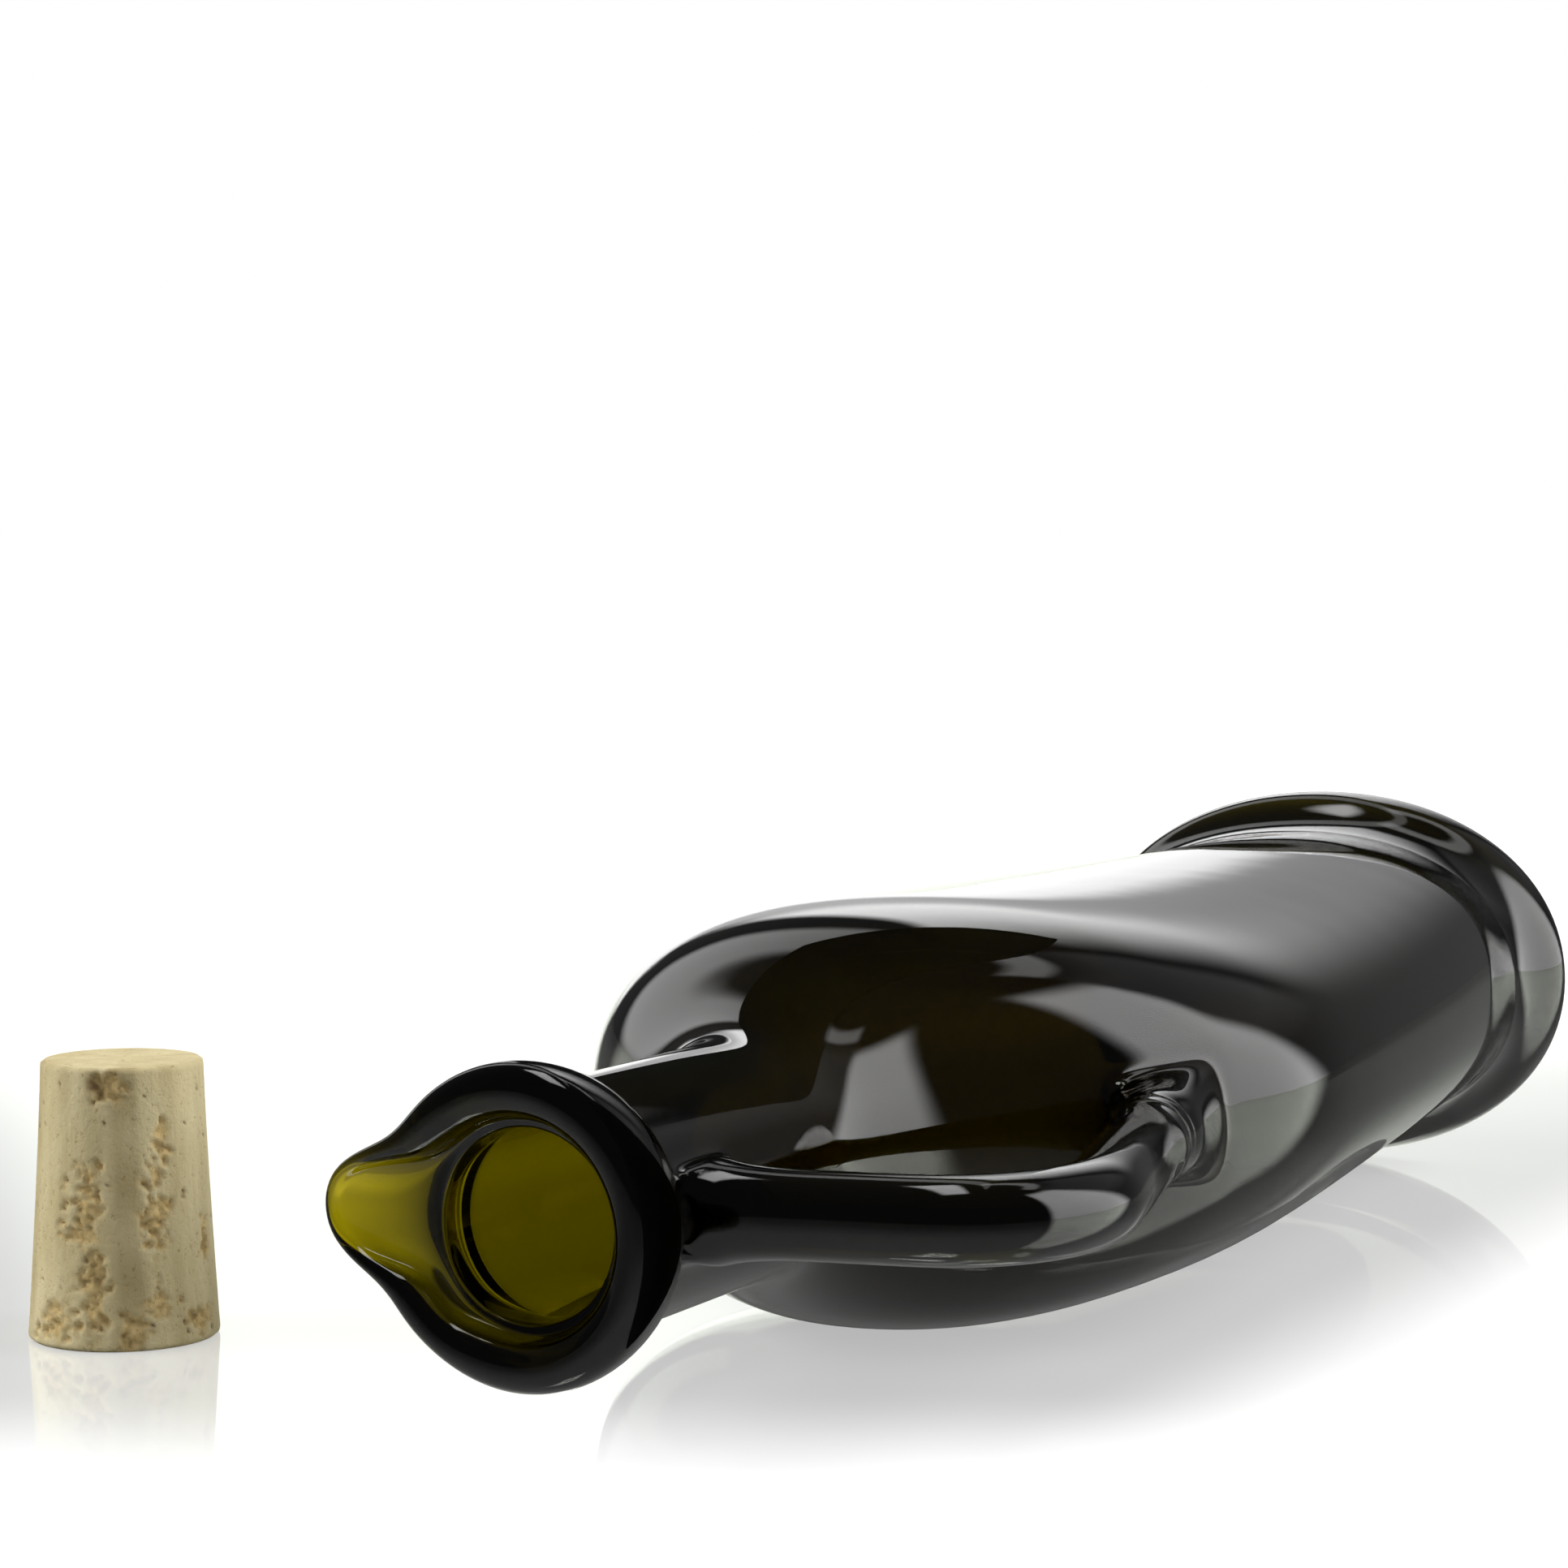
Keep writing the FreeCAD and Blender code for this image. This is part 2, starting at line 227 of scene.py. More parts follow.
def lip_ring(row, crowd):
    """Places round one row of the lip, crowded together towards the spout."""
    places = []
    for step in range(AROUND):
        even = math.tau * step / AROUND
        turn = even - crowd * math.sin(even - spout_turn)
        gap = math.tau / AROUND * (1 - crowd * math.cos(even - spout_turn))
        radius, station = lip_section(turn)[row]
        radius *= swelling(gap)
        places.append(Vector((station, radius * math.cos(turn), radius * math.sin(turn))))
    return places


for row, crowd in enumerate(CROWDING):
    loop = grow(glass, loop, lip_ring(row, crowd))

# Down the bore and round the inside, one wall in from the outside and thicker under the shoulder's
# slope, to a rounded floor.
bore_end, slope_wall, floor_curl = 43.0, 2.0, 0.6
for station in (24, 33, 40):
    loop = grow(glass, loop, oval(station, bore_radius, bore_radius))
for station in stations[::-1]:
    if station > bore_end:
        width, depth = outside(station)
        further = slope_wall * max(0, 1 - (station - neck_length) / shoulder_length)
        loop = grow(glass, loop, oval(station + further, width - wall, depth - wall, squareness(station)))
floor_station = bottle_length - base_thickness
for share in (0.0, 0.4, 0.7, 0.9, 0.98):
    curl = floor_curl * (waist_half_depth - wall) * rounding(share)
    loop = grow(glass, loop, oval(
        mixed(waist_station, floor_station, share),
        waist_half_width - wall - curl, waist_half_depth - wall - curl, waist_squareness))
loop = grow(glass, loop, oval(floor_station, 0.36 * waist_half_width, 0.2 * waist_half_depth))
bmesh.ops.holes_fill(glass, edges=[edge for edge in glass.edges if edge.is_boundary], sides=0)


# ---------------------------------------------------------------------------------------------
# The handle. A round rod of the same glass pressed on to the side of the neck, drawn out, turned
# over and pressed on to the shoulder, so both ends run into the bottle with a soft swelling.

SIDES = 16
rod, handle_station, handle_reach, handle_turn = 4.2, 12.4, 46.6, 11.6
handle_lean = math.radians(15.61)
outward, upward = Vector((0, -1, 0)), Vector((0, 0, 1))
off_shoulder = Vector((-0.537, -0.843, 0))
HOLE_EDGE = (  # round a square of five rows by five columns, as (along, up)
    (0, 0), (0, 1), (0, 2), (1, 2), (2, 2), (3, 2), (4, 2), (4, 1),
    (4, 0), (4, -1), (4, -2), (3, -2), (2, -2), (1, -2), (0, -2), (0, -1),
)


def opened(mesh, rows):
    """Takes a square of skin out of the handle's side; gives the edge round the hole and its crown."""
    square = {row[AROUND // 2 + side] for row in rows for side in (-2, -1, 0, 1, 2)}
    skin = [face for face in mesh.faces if all(vert in square for vert in face.verts)]
    edge = [rows[along][AROUND // 2 - up] for along, up in HOLE_EDGE]
    crown = rows[2][AROUND // 2].co.copy()
    bmesh.ops.delete(mesh, geom=skin, context="FACES")
    return edge, crown


def shrunk(hole, crown, share, lift):
    """The hole's edge drawn in towards its crown along the curve of the skin, and lifted off it."""
    middle = sum((vert.co for vert in hole), Vector()) / SIDES
    return [middle.lerp(vert.co, share) + (crown - middle) * (1 - share * share) + lift for vert in hole]


def rod_ring(centre, heading, radius):
    """Places round the rod, the first on the outer side of the bend and then upwards."""
    outer = heading.cross(upward)
    turns = [math.tau * step / SIDES for step in range(SIDES)]
    radius *= swelling(math.tau / SIDES)
    return [centre + radius * (outer * math.cos(turn) + upward * math.sin(turn)) for turn in turns]


def between(first, second, share):
    return [a.lerp(b, share) for a, b in zip(first, second)]


root, root_crown = opened(glass, [row_at[station] for station in ROOT])
landing, landing_crown = opened(glass, [row_at[station] for station in LANDING[::-1]])

# Out of the neck.
swollen = rod_ring(Vector((handle_station, -13.6, 0)), outward, 5.3)
loop = grow(glass, root, between(shrunk(root, root_crown, 0.9, outward * 0.05), swollen, 0.25))
loop = grow(glass, loop, swollen)
for reach, radius in ((15.4, 4.75), (18.0, 4.4), (21.5, rod), (26, rod), (31, rod)):
    loop = grow(glass, loop, rod_ring(Vector((handle_station, -reach, 0)), outward, radius))

# Round the bend and back, with ripples where the soft rod piled up.
BEND_STEPS = 7
bend = Vector((handle_station + handle_turn, handle_turn - handle_reach, 0))
for part in range(BEND_STEPS + 1):
    turn = (math.pi / 2 + handle_lean) * part / BEND_STEPS
    centre = bend + handle_turn * Vector((-math.cos(turn), -math.sin(turn), 0))
    loop = grow(glass, loop, rod_ring(centre, Vector((math.sin(turn), -math.cos(turn), 0)), rod))
inward = Vector((math.cos(handle_lean), math.sin(handle_lean), 0))
bend_end = bend + handle_turn * Vector((math.sin(handle_lean), -math.cos(handle_lean), 0))
for reach, radius in ((6, rod), (13, rod), (20, rod), (26, rod), (30.4, 4.25), (32.2, 4.6),
                      (33.4, 4.2), (34.6, 4.75), (35.8, 4.3), (37.0, 4.9)):
    loop = grow(glass, loop, rod_ring(bend_end + inward * reach, inward, radius))

# Pressed flat on the shoulder and joined to the edge of the hole there.
pressed = rod_ring(bend_end + inward * 38.4, inward, 5.1)
loop = grow(glass, loop, between(pressed, shrunk(landing, landing_crown, 0.54, off_shoulder * 0.5), 0.4))
for share, lift in ((0.64, 0.12), (0.80, 0.0)):
    loop = grow(glass, loop, shrunk(landing, landing_crown, share, off_shoulder * lift))
loop = grow(glass, loop, [vert.co.copy() for vert in landing])
bmesh.ops.remove_doubles(glass, verts=loop + landing, dist=1e-5)
bmesh.ops.recalc_face_normals(glass, faces=list(glass.faces))


# ---------------------------------------------------------------------------------------------
# The bottle laid down. It lies on its belly and foot, rolled a little towards the side away from
# its handle, with the foot end raised, and fills the place that the frame keeps for it.

MILLIMETRE = 0.001
roll, tilt = math.radians(-2.5), math.radians(-0.9486)


def settle(parts, middle):
    """Lists a mesh's points, edges or faces by place, since extruding leaves them in no fixed order."""
    by_place = sorted(parts, key=lambda part: [round(at, 4) for at in middle(part)])
    for rank, part in enumerate(by_place):
        part.index = rank
    parts.sort()


def placed(mesh, name, *moves):
    """Makes an object of a finished mesh, once the moves have put it in its place."""
    settle(mesh.verts, lambda vert: vert.co)
    settle(mesh.edges, lambda edge: edge.verts[0].co + edge.verts[1].co)
    settle(mesh.faces, lambda face: face.calc_center_median())
    for move in moves:
        mesh.transform(move)
    for face in mesh.faces:
        face.smooth = True
    data = bpy.data.meshes.new(name)
    mesh.to_mesh(data)
    mesh.free()
    piece = bpy.data.objects.new(name, data)
    bpy.context.collection.objects.link(piece)
    return piece


bottle = placed(glass, "bottle_glass", Matrix.Rotation(roll, 4, "X"), Matrix.Rotation(tilt, 4, "Y"),
                Matrix.Scale(MILLIMETRE, 4))
smoothing = bottle.modifiers.new("smoothing", "SUBSURF")
smoothing.levels = smoothing.render_levels = 2
bpy.context.view_layer.update()
smoothed = bottle.evaluated_get(bpy.context.evaluated_depsgraph_get())
skin_points = [vert.co for vert in smoothed.to_mesh().vertices]
low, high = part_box("bottle")
bottle.data.transform(Matrix.Translation((
    high[0] - max(point.x for point in skin_points),
    low[1] - min(point.y for point in skin_points),
    low[2] - min(point.z for point in skin_points))))
smoothed.to_mesh_clear()


# Dark olive green glass: clear and very smooth, with the faint smears and waves of blown glass.
# Most of its colour is in its depth, so thin places glow yellow-green and thick ones are nearly black.

def node(tree, kind, **inputs):
    """A shader node; each input is another node's output, or a plain value."""
    made = tree.nodes.new("ShaderNode" + kind)
    for name, value in inputs.items():
        socket = made.inputs[name.replace("_", " ")]
        if isinstance(value, bpy.types.NodeSocket):
            tree.links.new(value, socket)
        else:
            socket.default_value = value
    return made


green = bpy.data.materials.new("olive_green_glass")
green.use_nodes = True
tree = green.node_tree
shader = tree.nodes["Principled BSDF"]
shader.inputs["Base Color"].default_value = (1, 0.79, 0.35, 1)
shader.inputs["Transmission Weight"].default_value = 1
shader.inputs["IOR"].default_value = 1.5
where = node(tree, "TexCoord").outputs["Object"]
smears = node(tree, "TexNoise", Vector=where, Scale=140, Detail=4, Roughness=0.6)
polish = node(tree, "MapRange", Value=smears.outputs["Fac"], From_Min=0.45, From_Max=0.75,
              To_Min=0.0, To_Max=0.07)
tree.links.new(polish.outputs["Result"], shader.inputs["Roughness"])
waves = node(tree, "TexNoise", Vector=where, Scale=55, Detail=1.5)
bump = node(tree, "Bump", Height=waves.outputs["Fac"], Strength=0.12, Distance=0.0006)
tree.links.new(bump.outputs["Normal"], shader.inputs["Normal"])
depth = node(tree, "VolumeAbsorption", Color=(0.8, 0.8, 0.0, 1), Density=3500)
tree.links.new(depth.outputs["Volume"], tree.nodes["Material Output"].inputs["Volume"])
bottle.data.materials.append(green)
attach(bottle, "root")
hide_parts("bottle")


# ---------------------------------------------------------------------------------------------
# The cork. A tapered stopper punched from natural cork bark, standing on its wide end beside the
# bottle. Its side shows growth streaks, small dark pores and places where the cork has crumbled;
# the darkest streak, up the side facing the viewer, is painted shade.

cork_low, cork_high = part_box("cork")
cork_middle = Vector(((cork_low[0] + cork_high[0]) / 2, (cork_low[1] + cork_high[1]) / 2, cork_low[2]))
cork_radius = (cork_high[0] - cork_low[0]) / 2 / MILLIMETRE
cork_height = (cork_high[2] - cork_low[2]) / MILLIMETRE
cork_taper, foot_wear, top_wear = 1.6, 0.45, 0.4
CORK_AROUND, CORK_ROWS, CORK_TOP_RINGS = 180, 100, 26
CRUMBLED = (  # places on the side: angle, height, half width and half height in millimetres
    (192, 15.8, 2.7, 4.2), (199, 6.4, 2.0, 4.6), (170, 2.8, 3.3, 1.9), (223, 1.8, 2.1, 2.0),
    (240, 14.4, 1.8, 4.6), (246, 22.2, 1.1, 3.0), (242, 4.8, 1.8, 2.0), (270, 2.4, 3.0, 1.6),
    (206, 28.0, 3.4, 1.5), (282, 11, 1.2, 2.6), (40, 12, 3.4, 4.0), (95, 20, 2.6, 3.2),
    (330, 17, 2.8, 3.6), (120, 5, 2.6, 3.0), (5, 24, 1.6, 3.4),
)
# The growth streaks; the dark, wide one at 221 degrees, on the side facing the viewer, is painted shade.
STREAKS_AND_SHADE_BAND = (  # dark streaks up the side: angle, half width in millimetres, strength
    (221, 2.2, 0.95), (197, 1.4, 0.40), (176, 1.1, 0.30), (253, 1.1, 0.30), (286, 1.6, 0.30),
    (25, 2.0, 0.70), (80, 1.3, 0.50), (138, 1.8, 0.60), (325, 1.4, 0.50),
)


def cork_side(height):
    """The radius: nearly straight near the narrow end, then widening to the foot."""
    share = clipped(1 - height / cork_height)
    return cork_radius - cork_taper + cork_taper * (0.25 * share + 0.75 * share ** 1.35)


def cork_ring(radius, height):
    turns = [math.tau * step / CORK_AROUND for step in range(CORK_AROUND)]
    return [Vector((radius * math.cos(turn), radius * math.sin(turn), height)) for turn in turns]


def round_side(angle, at):
    """Distance round the side, in millimetres, from one angle to another."""
    return math.radians((angle - at + 180) % 360 - 180) * cork_radius


def crumbling(angle, place):
    """How far the side has crumbled at a place, from 0 to 1, with ragged edges."""
    worst = 0.0
    for at, level, wide, tall in CRUMBLED:
        away = math.hypot(round_side(angle, at) / wide, (place.z - level) / tall)
        rag = 1.1 * noise.noise(place * 0.45 + Vector((at, 0, 0))) + 0.9 * noise.noise(place * 1.3)
        worst = max(worst, clipped(2.2 - 2.1 * away + 1.6 * rag))
    return worst


def streaks_and_painted_shade(angle, height):
    """How dark the growth streaks and the painted shade band facing the viewer are at a place, from 0 to 1.
    """
    darkest = 0.0
    wander = 5 * noise.noise(Vector((height * 0.09, 4, 8)))
    for at, wide, strength in STREAKS_AND_SHADE_BAND:
        across = round_side(angle - wander, at) / wide
        uneven = 0.8 + 0.5 * noise.noise(Vector((at, height * 0.2, 2)))
        darkest = max(darkest, strength * uneven * clipped(1.7 - 1.5 * abs(across)))
    return min(1, darkest)


def pitting(place):
    """How deep a pore is at a place, from 0 to 1: round cells, kept only here and there."""
    keep = noise.noise(place * 0.35 + Vector((3, 9, 4)))
    if keep <= -0.05:
        return 0.0
    nearest = noise.voronoi(place * 0.62)[0][0]
    return max(0, 1 - nearest / mixed(0.12, 0.34, max(0, keep)))


cork = bmesh.new()
broken = cork.verts.layers.float.new("crumbled")
hollowed = cork.verts.layers.float.new("pore")
streak_and_shade_layer = cork.verts.layers.float.new("streaks_and_painted_shade")
loop = disc(cork, cork_ring(1.2, 0))
for share in (0.25, 0.4, 0.55, 0.7, 0.82, 0.9):
    loop = grow(cork, loop, cork_ring(cork_radius * share, 0))
for row in range(CORK_ROWS + 1):
    height = cork_height * row / CORK_ROWS
    worn = foot_wear * max(0, 1 - height / 0.5) ** 2
    worn += top_wear * max(0, 1 - (cork_height - height) / 0.4) ** 2
    loop = grow(cork, loop, cork_ring(cork_side(height) - worn, height))
for part in range(1, CORK_TOP_RINGS + 1):
    inner = (cork_side(cork_height) - top_wear) * (1 - part / (CORK_TOP_RINGS + 1.5))
    loop = grow(cork, loop, cork_ring(inner, cork_height))
bmesh.ops.holes_fill(cork, edges=[edge for edge in cork.edges if edge.is_boundary], sides=0)
bmesh.ops.recalc_face_normals(cork, faces=list(cork.faces))
cork.normal_update()

# The surface sinks where it is rough, pitted or crumbled, and each point keeps how much for the
# material. Where the side has crumbled at the narrow end it is dark with rot, as the pores are.
sunk = []
for vert in cork.verts:
    place = vert.co
    angle = math.degrees(math.atan2(place.y, place.x)) % 360
    on_side = math.hypot(place.x, place.y) > 0.93 * cork_side(place.z)
    bad = crumbling(angle, place) if on_side else 0.0
    pore = pitting(place)
    at_top = clipped((place.z - cork_height + 3.4) / 1.2)
    rotten = bad * at_top * min(1, max(0, 3.2 * noise.noise(place * 0.8) + 0.35))
    vert[broken] = bad
    vert[hollowed] = min(1, pore * 1.5 + 0.85 * rotten)
    vert[streak_and_shade_layer] = streaks_and_painted_shade(angle, place.z) if on_side else 0.3 * streaks_and_painted_shade(angle, 0)
    rough = 0.5 * noise.fractal(place * 1.1, 1.0, 2.0, 3)
    lumps = 0.30 * noise.noise(place * 2.6 + Vector((7, 3, 1))) + 0.30 * noise.noise(place * 1.3)
    inwards = max(0, 0.06 * rough + 0.34 * pore + bad * (0.26 + 1.5 * lumps))
    standing = min(1, place.z / 0.6) * (1.0 if on_side else 0.7)
    sunk.append(place - vert.normal * inwards * standing)
for vert, place in zip(cork.verts, sunk):
    vert.co = place
stopper = placed(cork, "cork_stopper", Matrix.Scale(MILLIMETRE, 4), Matrix.Translation(cork_middle))


# Natural cork: pale straw, streaked along the stopper, darker and redder where it has crumbled
# and brown in the pores, dull all over.

def ramped(tree, source, *stops):
    """Colours set along a value, as (position, colour) stops."""
    made = node(tree, "ValToRGB", Fac=source)
    while len(made.color_ramp.elements) < len(stops):
        made.color_ramp.elements.new(0.5)
    for element, (position, colour) in zip(made.color_ramp.elements, stops):
        element.position, element.color = position, (*colour, 1)
    return made.outputs["Color"]


def blended(tree, share, first, second, mode="MIX"):
    """Two colours, each a node's output or a plain colour, blended by a share."""
    made = tree.nodes.new("ShaderNodeMix")
    made.data_type, made.blend_type = "RGBA", mode
    for socket, value in ((made.inputs["Factor"], share), (made.inputs[6], first), (made.inputs[7], second)):
        if isinstance(value, bpy.types.NodeSocket):
            tree.links.new(value, socket)
        elif isinstance(value, float):
            socket.default_value = value
        else:
            socket.default_value = (*value, 1)
    return made.outputs[2]


def painted(tree, name):
    """How much of something each point of the mesh has."""
    attribute = tree.nodes.new("ShaderNodeAttribute")
    attribute.attribute_name = name
    return attribute.outputs["Fac"]


bark = bpy.data.materials.new("natural_cork")
bark.use_nodes = True
tree = bark.node_tree
shader = tree.nodes["Principled BSDF"]
shader.inputs["Specular IOR Level"].default_value = 0.25
where = node(tree, "TexCoord").outputs["Object"]
centred = node(tree, "Mapping", Vector=where, Location=(-cork_middle.x, -cork_middle.y, 0)).outputs["Vector"]
drawn = node(tree, "Mapping", Vector=centred, Scale=(1, 1, 0.3)).outputs["Vector"]
streaks = node(tree, "TexNoise", Vector=drawn, Scale=420, Detail=5, Roughness=0.65).outputs["Fac"]
clouds = node(tree, "TexNoise", Vector=drawn, Scale=120, Detail=3, Roughness=0.6).outputs["Fac"]
grains = node(tree, "TexNoise", Vector=centred, Scale=1500, Detail=3, Roughness=0.7).outputs["Fac"]
crumbs = node(tree, "TexVoronoi", Vector=centred, Scale=900).outputs["Distance"]
straw = blended(
    tree, 0.5,
    ramped(tree, streaks, (0.25, (0.60, 0.49, 0.25)), (0.5, (0.72, 0.61, 0.35)), (0.75, (0.84, 0.75, 0.47))),
    ramped(tree, clouds, (0.3, (0.54, 0.44, 0.23)), (0.7, (0.83, 0.73, 0.46))))
tan = ramped(tree, crumbs, (0.0, (0.78, 0.61, 0.31)), (0.5, (0.64, 0.47, 0.21)), (1.0, (0.34, 0.24, 0.10)))
specks = ramped(tree, grains, (0.30, (0.50, 0.37, 0.21)), (0.40, (1, 1, 1)))
# Darker along the growth streaks, and along the painted shade band on the side facing the viewer.
colour = blended(tree, painted(tree, "streaks_and_painted_shade"), straw, (0.46, 0.37, 0.19))
colour = blended(tree, painted(tree, "crumbled"), colour, tan)
colour = blended(tree, 0.55, colour, specks, "MULTIPLY")
colour = blended(tree, painted(tree, "pore"), colour, (0.16, 0.09, 0.04))
tree.links.new(colour, shader.inputs["Base Color"])
dull = node(tree, "MapRange", Value=streaks, To_Min=0.72, To_Max=0.95)
tree.links.new(dull.outputs["Result"], shader.inputs["Roughness"])
grain_bump = node(tree, "Bump", Height=grains, Strength=0.45, Distance=0.0003)
streak_bump = node(tree, "Bump", Height=streaks, Normal=grain_bump.outputs["Normal"],
                   Strength=0.4, Distance=0.0004)
tree.links.new(streak_bump.outputs["Normal"], shader.inputs["Normal"])
stopper.data.materials.append(bark)
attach(stopper, "root")
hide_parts("cork")


# ---------------------------------------------------------------------------------------------
# The table. A sheet of white glossy acrylic, lit from below as well as from above. It mirrors the
# bottle softly near where it lies, and its gloss fades out towards the viewer and far away.

eye = Vector((-0.3928, -0.1992, 0.0837))
ahead = Vector((0.8782, 0.4782, 0))
left = Vector((-ahead.y, ahead.x, 0))


def maths(tree, operation, *values):
    """One sum on nodes' outputs and plain numbers."""
    made = tree.nodes.new("ShaderNodeMath")
    made.operation = operation
    for socket, value in zip(made.inputs, values):
        if isinstance(value, bpy.types.NodeSocket):
            tree.links.new(value, socket)
        else:
            socket.default_value = value
    return made.outputs[0]


def product(tree, *values):
    made = values[0]
    for value in values[1:]:
        made = maths(tree, "MULTIPLY", made, value)
    return made


def along(tree, place, direction):
    """How far a place lies in a direction."""
    made = tree.nodes.new("ShaderNodeVectorMath")
    made.operation = "DOT_PRODUCT"
    made.inputs[1].default_value = direction
    tree.links.new(place, made.inputs[0])
    return made.outputs["Value"]


def ramp(tree, value, start, end, low=0.0, high=1.0, soft=False):
    """Goes from low at start to high at end, and stays level outside them."""
    made = node(tree, "MapRange", Value=value, From_Min=start, From_Max=end, To_Min=low, To_Max=high)
    if soft:
        made.interpolation_type = "SMOOTHSTEP"
    return made.outputs["Result"]


def shared(tree, share, first, second):
    """One shader turning into another by a share."""
    made = node(tree, "MixShader", Fac=share)
    tree.links.new(first, made.inputs[1])
    tree.links.new(second, made.inputs[2])
    return made.outputs["Shader"]


surface = bmesh.new()
bmesh.ops.create_grid(surface, x_segments=8, y_segments=8, size=6)
table_top = placed(surface, "table_top", Matrix.Translation((0, 0, cad_box[0].z - 0.00005)))
acrylic = bpy.data.materials.new("white_acrylic")
acrylic.use_nodes = True
tree = acrylic.node_tree
tree.nodes.clear()
where = node(tree, "TexCoord").outputs["Object"]
rays = node(tree, "LightPath")
slope = node(tree, "LayerWeight").outputs["Facing"]
onward = along(tree, where, ahead)
across = node(tree, "SeparateXYZ", Vector=where).outputs["Y"]

# The share of mirror: near the bottle for every ray, and all over for what the glass reflects.
from_eye = eye.dot(ahead)
near_bottle = product(
    tree,
    ramp(tree, onward, from_eye + 0.330, from_eye + 0.374, soft=True),
    ramp(tree, onward, 0.30, 0.14, soft=True),
    ramp(tree, across, -0.080, -0.046, soft=True))
in_glass = product(tree, ramp(tree, slope, 0.35, 0.80, 0.8, 1.6), rays.outputs["Is Glossy Ray"])
gloss = product(tree, maths(tree, "MAXIMUM", near_bottle, in_glass), 0.47)

# The glow from below, seen by the eye, through thin glass, and faintly in what the glass reflects.
away = tree.nodes.new("ShaderNodeVectorMath")
away.operation = "SUBTRACT"
away.inputs[1].default_value = eye
tree.links.new(where, away.inputs[0])
line = tree.nodes.new("ShaderNodeVectorMath")
line.operation = "NORMALIZE"
tree.links.new(away.outputs["Vector"], line.inputs[0])
straight = ramp(tree, along(tree, line.outputs["Vector"], ahead), 0.90, 0.94)
beyond = ramp(tree, onward, -0.06, 0.03)
through = product(tree, rays.outputs["Is Transmission Ray"], product(tree, straight, beyond))
seen = product(tree, maths(tree, "MAXIMUM", rays.outputs["Is Camera Ray"], through), 0.86)
faint = ramp(tree, slope, 0.88, 0.60, 0.05, 0.37)
glow = maths(tree, "MULTIPLY_ADD", rays.outputs["Is Glossy Ray"], faint, seen)
lit = tree.nodes.new("ShaderNodeAddShader")
white = node(tree, "BsdfDiffuse", Color=(0.36, 0.37, 0.36, 1))
tree.links.new(white.outputs["BSDF"], lit.inputs[0])
tree.links.new(node(tree, "Emission", Strength=glow).outputs["Emission"], lit.inputs[1])
mirror = node(tree, "BsdfGlossy", Color=(0.96, 1, 0.90, 1), Roughness=0.03)
finish = shared(tree, gloss, lit.outputs["Shader"], mirror.outputs["BSDF"])
node(tree, "OutputMaterial", Surface=finish)
table_top.data.materials.append(acrylic)


# ---------------------------------------------------------------------------------------------
# The studio lights. A tall softbox to the right and a weaker one to the left light the cork and
# the table. The glass doesn't show them: it mirrors the panels of the room further down.

aim = Vector((0.0, 0.0, 0.03))


def softbox(name, turn, far, rise, wide, tall, brightness, edge):
    """A softbox at an angle to the left of straight ahead, dimmer towards its edges."""
    place = (ahead * math.cos(math.radians(turn)) + left * math.sin(math.radians(turn))) * far
    lamp = bpy.data.lights.new(name, "AREA")
    lamp.shape, lamp.size, lamp.size_y = "RECTANGLE", wide, tall
    lamp.energy = brightness * math.pi * wide * tall
    lamp.use_nodes = True
    tree = lamp.node_tree
    sides = node(tree, "SeparateXYZ", Vector=node(tree, "NewGeometry").outputs["Parametric"])
    strength = 1.0
    for side in ("X", "Y"):
        inwards = maths(tree, "PINGPONG", sides.outputs[side], 0.5)
        strength = product(tree, ramp(tree, inwards, 0.0, edge, soft=True), strength)
    tree.links.new(strength, tree.nodes["Emission"].inputs["Strength"])
    box = bpy.data.objects.new(name, lamp)
    box.location = aim + place + Vector((0, 0, rise))
    box.rotation_euler = (-place).to_track_quat("-Z", "Y").to_euler()
    for sight in ("camera", "glossy", "transmission"):
        setattr(box, "visible_" + sight, False)
    bpy.context.collection.objects.link(box)


softbox("softbox_right", -88, 0.8, 0.40, 0.70, 1.10, 8.5, 0.24)
softbox("softbox_left", 95, 0.9, 0.60, 0.8, 0.9, 6.0, 0.2)


# ---------------------------------------------------------------------------------------------
# Two small black cards close to the lip and the neck, which put painted dark reflections on them.
# They cast no shadow and keep no light off anything, and are seen only in the glass, from one side and from
# close by.

painted_dark_reflection = bpy.data.materials.new("painted_dark_reflection_card")
painted_dark_reflection.use_nodes = True
tree = painted_dark_reflection.node_tree
shader = tree.nodes["Principled BSDF"]
shader.inputs["Base Color"].default_value = (0.02, 0.02, 0.02, 1)
shader.inputs["Roughness"].default_value = 0.8
# Painted dark reflections: the card turns clear to rays longer than 6 to 8 centimetres and to rays reaching
# it from behind.
too_far = ramp(tree, node(tree, "LightPath").outputs["Ray Length"], 0.06, 0.08)
behind = node(tree, "NewGeometry").outputs["Backfacing"]
clear = node(tree, "BsdfTransparent")
either = shared(tree, maths(tree, "MAXIMUM", too_far, behind), shader.outputs["BSDF"], clear.outputs["BSDF"])
tree.links.new(either, tree.nodes["Material Output"].inputs["Surface"])


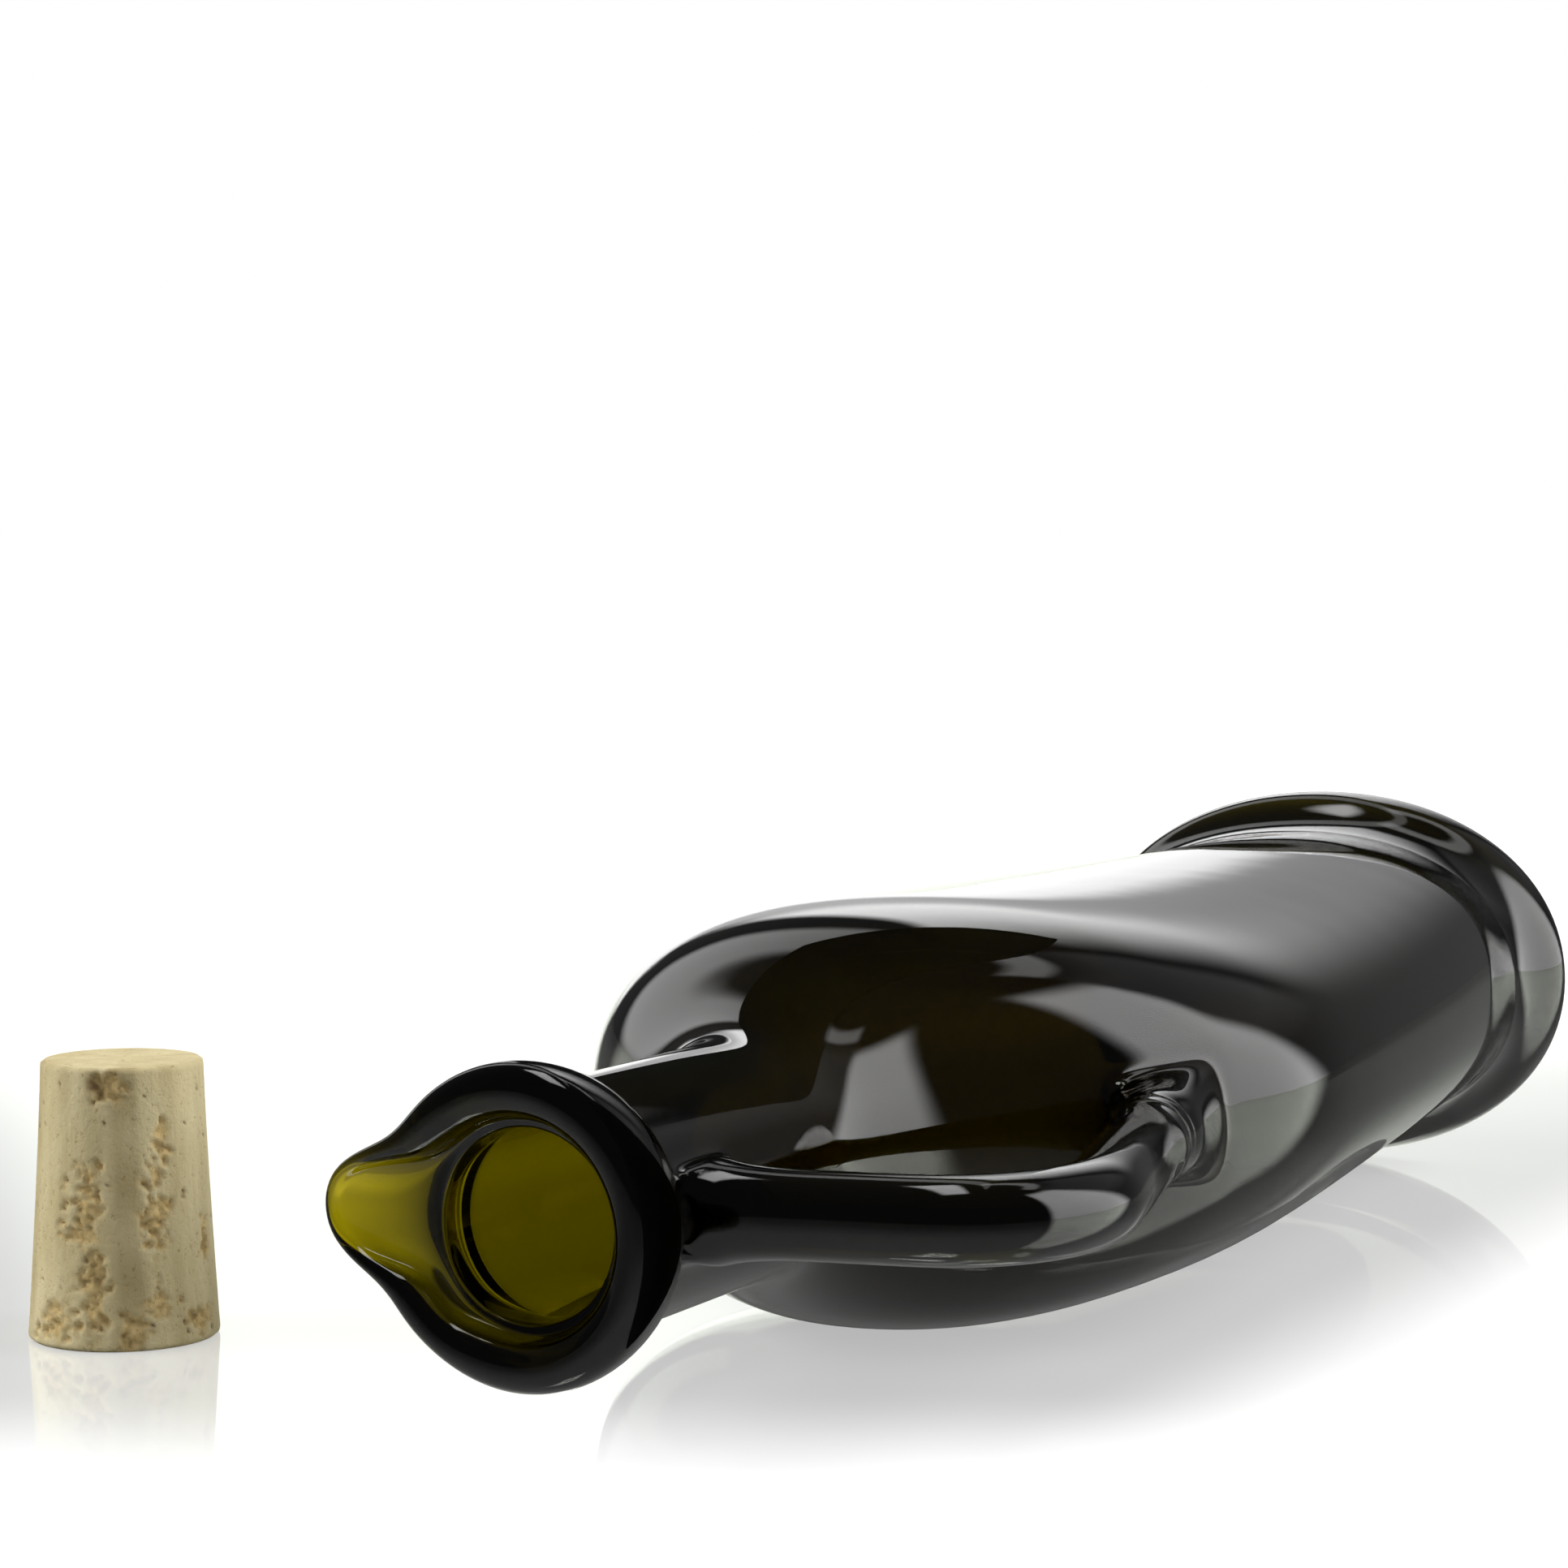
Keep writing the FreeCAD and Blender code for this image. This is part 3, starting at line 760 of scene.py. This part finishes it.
def painted_reflection_sheet(name, onward, leftward, height, turn, wide, tall):
    """An upright card, by the place of its middle and its turn from facing right."""
    sheet = bmesh.new()
    bmesh.ops.create_grid(sheet, x_segments=1, y_segments=1, size=0.5)
    card = placed(
        sheet, name,
        Matrix.Diagonal((wide, tall, 1, 1)),
        Matrix.Rotation(math.radians(90), 4, "X"),
        Matrix.Rotation(math.atan2(ahead.y, ahead.x) + math.radians(turn), 4, "Z"),
        Matrix.Translation(ahead * onward + left * leftward + Vector((0, 0, height))))
    card.data.materials.append(painted_dark_reflection)
    for sight in ("camera", "diffuse", "transmission", "shadow", "volume_scatter"):
        setattr(card, "visible_" + sight, False)


# Painted dark reflections, one on the lip and one on the neck.
painted_reflection_sheet("dark_reflection_beside_lip", -0.151, 0.021, 0.055, 180, 0.100, 0.12)
painted_reflection_sheet("dark_reflection_over_neck", -0.047, 0.014, 0.083, -90, 0.060, 0.080)


# ---------------------------------------------------------------------------------------------
# The room. White to the eye and dim to the pieces, and in the glass dark with soft panels of
# light. Panels are placed by degrees to the left of straight ahead and degrees above the table.

world = bpy.data.worlds.new("studio")
bpy.context.scene.world = world
world.use_nodes = True
studio = world.node_tree
studio.nodes.clear()
heading = node(studio, "TexCoord").outputs["Generated"]
leftward, onward = along(studio, heading, left), along(studio, heading, ahead)
around = maths(studio, "ARCTAN2", leftward, onward)
above = maths(studio, "ARCSINE", along(studio, heading, upward))


def edge(value, start, end):
    """Rises softly from 0 at start to 1 at end, in degrees."""
    return ramp(studio, value, math.radians(start), math.radians(end), soft=True)


def panel(right_end, left_end, foot, head, brightness, soft, soft_up):
    """A panel of light between two angles and two heights, with soft edges."""
    return product(
        studio,
        edge(around, right_end - soft, right_end + soft), edge(around, left_end + soft, left_end - soft),
        edge(above, foot - soft_up, foot + soft_up), edge(above, head + soft_up, head - soft_up), brightness)


def leaning(slant, start, end, foot, head, brightness, lift=1.0):
    """A panel whose left edge leans over by slant, and which is dimmer by lift at the foot."""
    slanted = maths(studio, "MULTIPLY_ADD", above, slant, around)
    shade = ramp(studio, above, 0.0, math.radians(34), lift, 1.0)
    return product(studio, edge(around, *start), edge(slanted, *end),
                   edge(above, *foot), edge(above, *head), shade, brightness)


def chosen(share, first, second):
    """The first brightness, or the second where the share is 1."""
    made = node(studio, "Mix", Factor=share)
    for socket, value in ((made.inputs[2], first), (made.inputs[3], second)):
        if isinstance(value, bpy.types.NodeSocket):
            studio.links.new(value, socket)
        else:
            socket.default_value = value
    return made.outputs[0]


overhead = product(
    studio,
    ramp(studio, leftward, 0.10, 0.15, soft=True), ramp(studio, leftward, 0.34, 0.28, soft=True),
    ramp(studio, onward, -0.20, -0.12, soft=True), ramp(studio, onward, 0.40, 0.34, soft=True),
    edge(above, 40, 48), 5.0)
slanted = maths(studio, "MULTIPLY_ADD", above, 0.5, around)
strip = product(studio, edge(slanted, 28, 32), edge(slanted, 44, 40), edge(above, -4, 2), 0.95)
room = 0.05
for shape in (
    overhead,
    strip,
    panel(-16, 16, -6, 7, 0.75, 2, 2),
    panel(-100, 2, 69, 75, 1.6, 4, 1.5),
    panel(-100, -40, 24, 66, 0.24, 5, 8),
    panel(-75, -15, -60, 24, 0.07, 6, 5),
    leaning(0.35, (-38, 0), (18, 14), (9, 24), (60, 52), 3.4, 0.5),
    leaning(0.6, (-24, 6), (19, 15), (-16, -10), (18, 10), 0.9),
    leaning(0.62, (-135, -128), (-54, -67), (-18, -8), (66, 58), 4.2, 0.8),
):
    room = maths(studio, "ADD", room, shape)
wall_behind = panel(-15, 15, -90, 16, 1.0, 1.5, 1.5)
through_glass = maths(studio, "MAXIMUM", product(studio, room, 0.45), wall_behind)
rays = node(studio, "LightPath")
from_glass = maths(studio, "MAXIMUM", rays.outputs["Is Glossy Ray"], rays.outputs["Is Transmission Ray"])
brightness = chosen(rays.outputs["Is Transmission Ray"], room, through_glass)
brightness = chosen(from_glass, 0.40, brightness)
brightness = chosen(rays.outputs["Is Camera Ray"], brightness, 1.0)
sky = node(studio, "Background", Color=(1, 1, 1, 1), Strength=brightness)
node(studio, "OutputWorld", Surface=sky.outputs["Background"])


# ---------------------------------------------------------------------------------------------
# The viewer. A long lens low over the table, looking along the bottle from beyond its mouth and a
# little down.

lens = bpy.data.cameras.new("viewer")
lens.lens, lens.sensor_width = 85.9, 36
lens.clip_start, lens.clip_end = 0.01, 50
viewer = bpy.data.objects.new("viewer", lens)
viewer.location = eye
down = math.radians(3.44)
looking = ahead * math.cos(down) - upward * math.sin(down)
viewer.rotation_euler = looking.to_track_quat("-Z", "Y").to_euler()
bpy.context.collection.objects.link(viewer)
bpy.context.scene.camera = viewer
bpy.context.scene.view_settings.view_transform = "Standard"
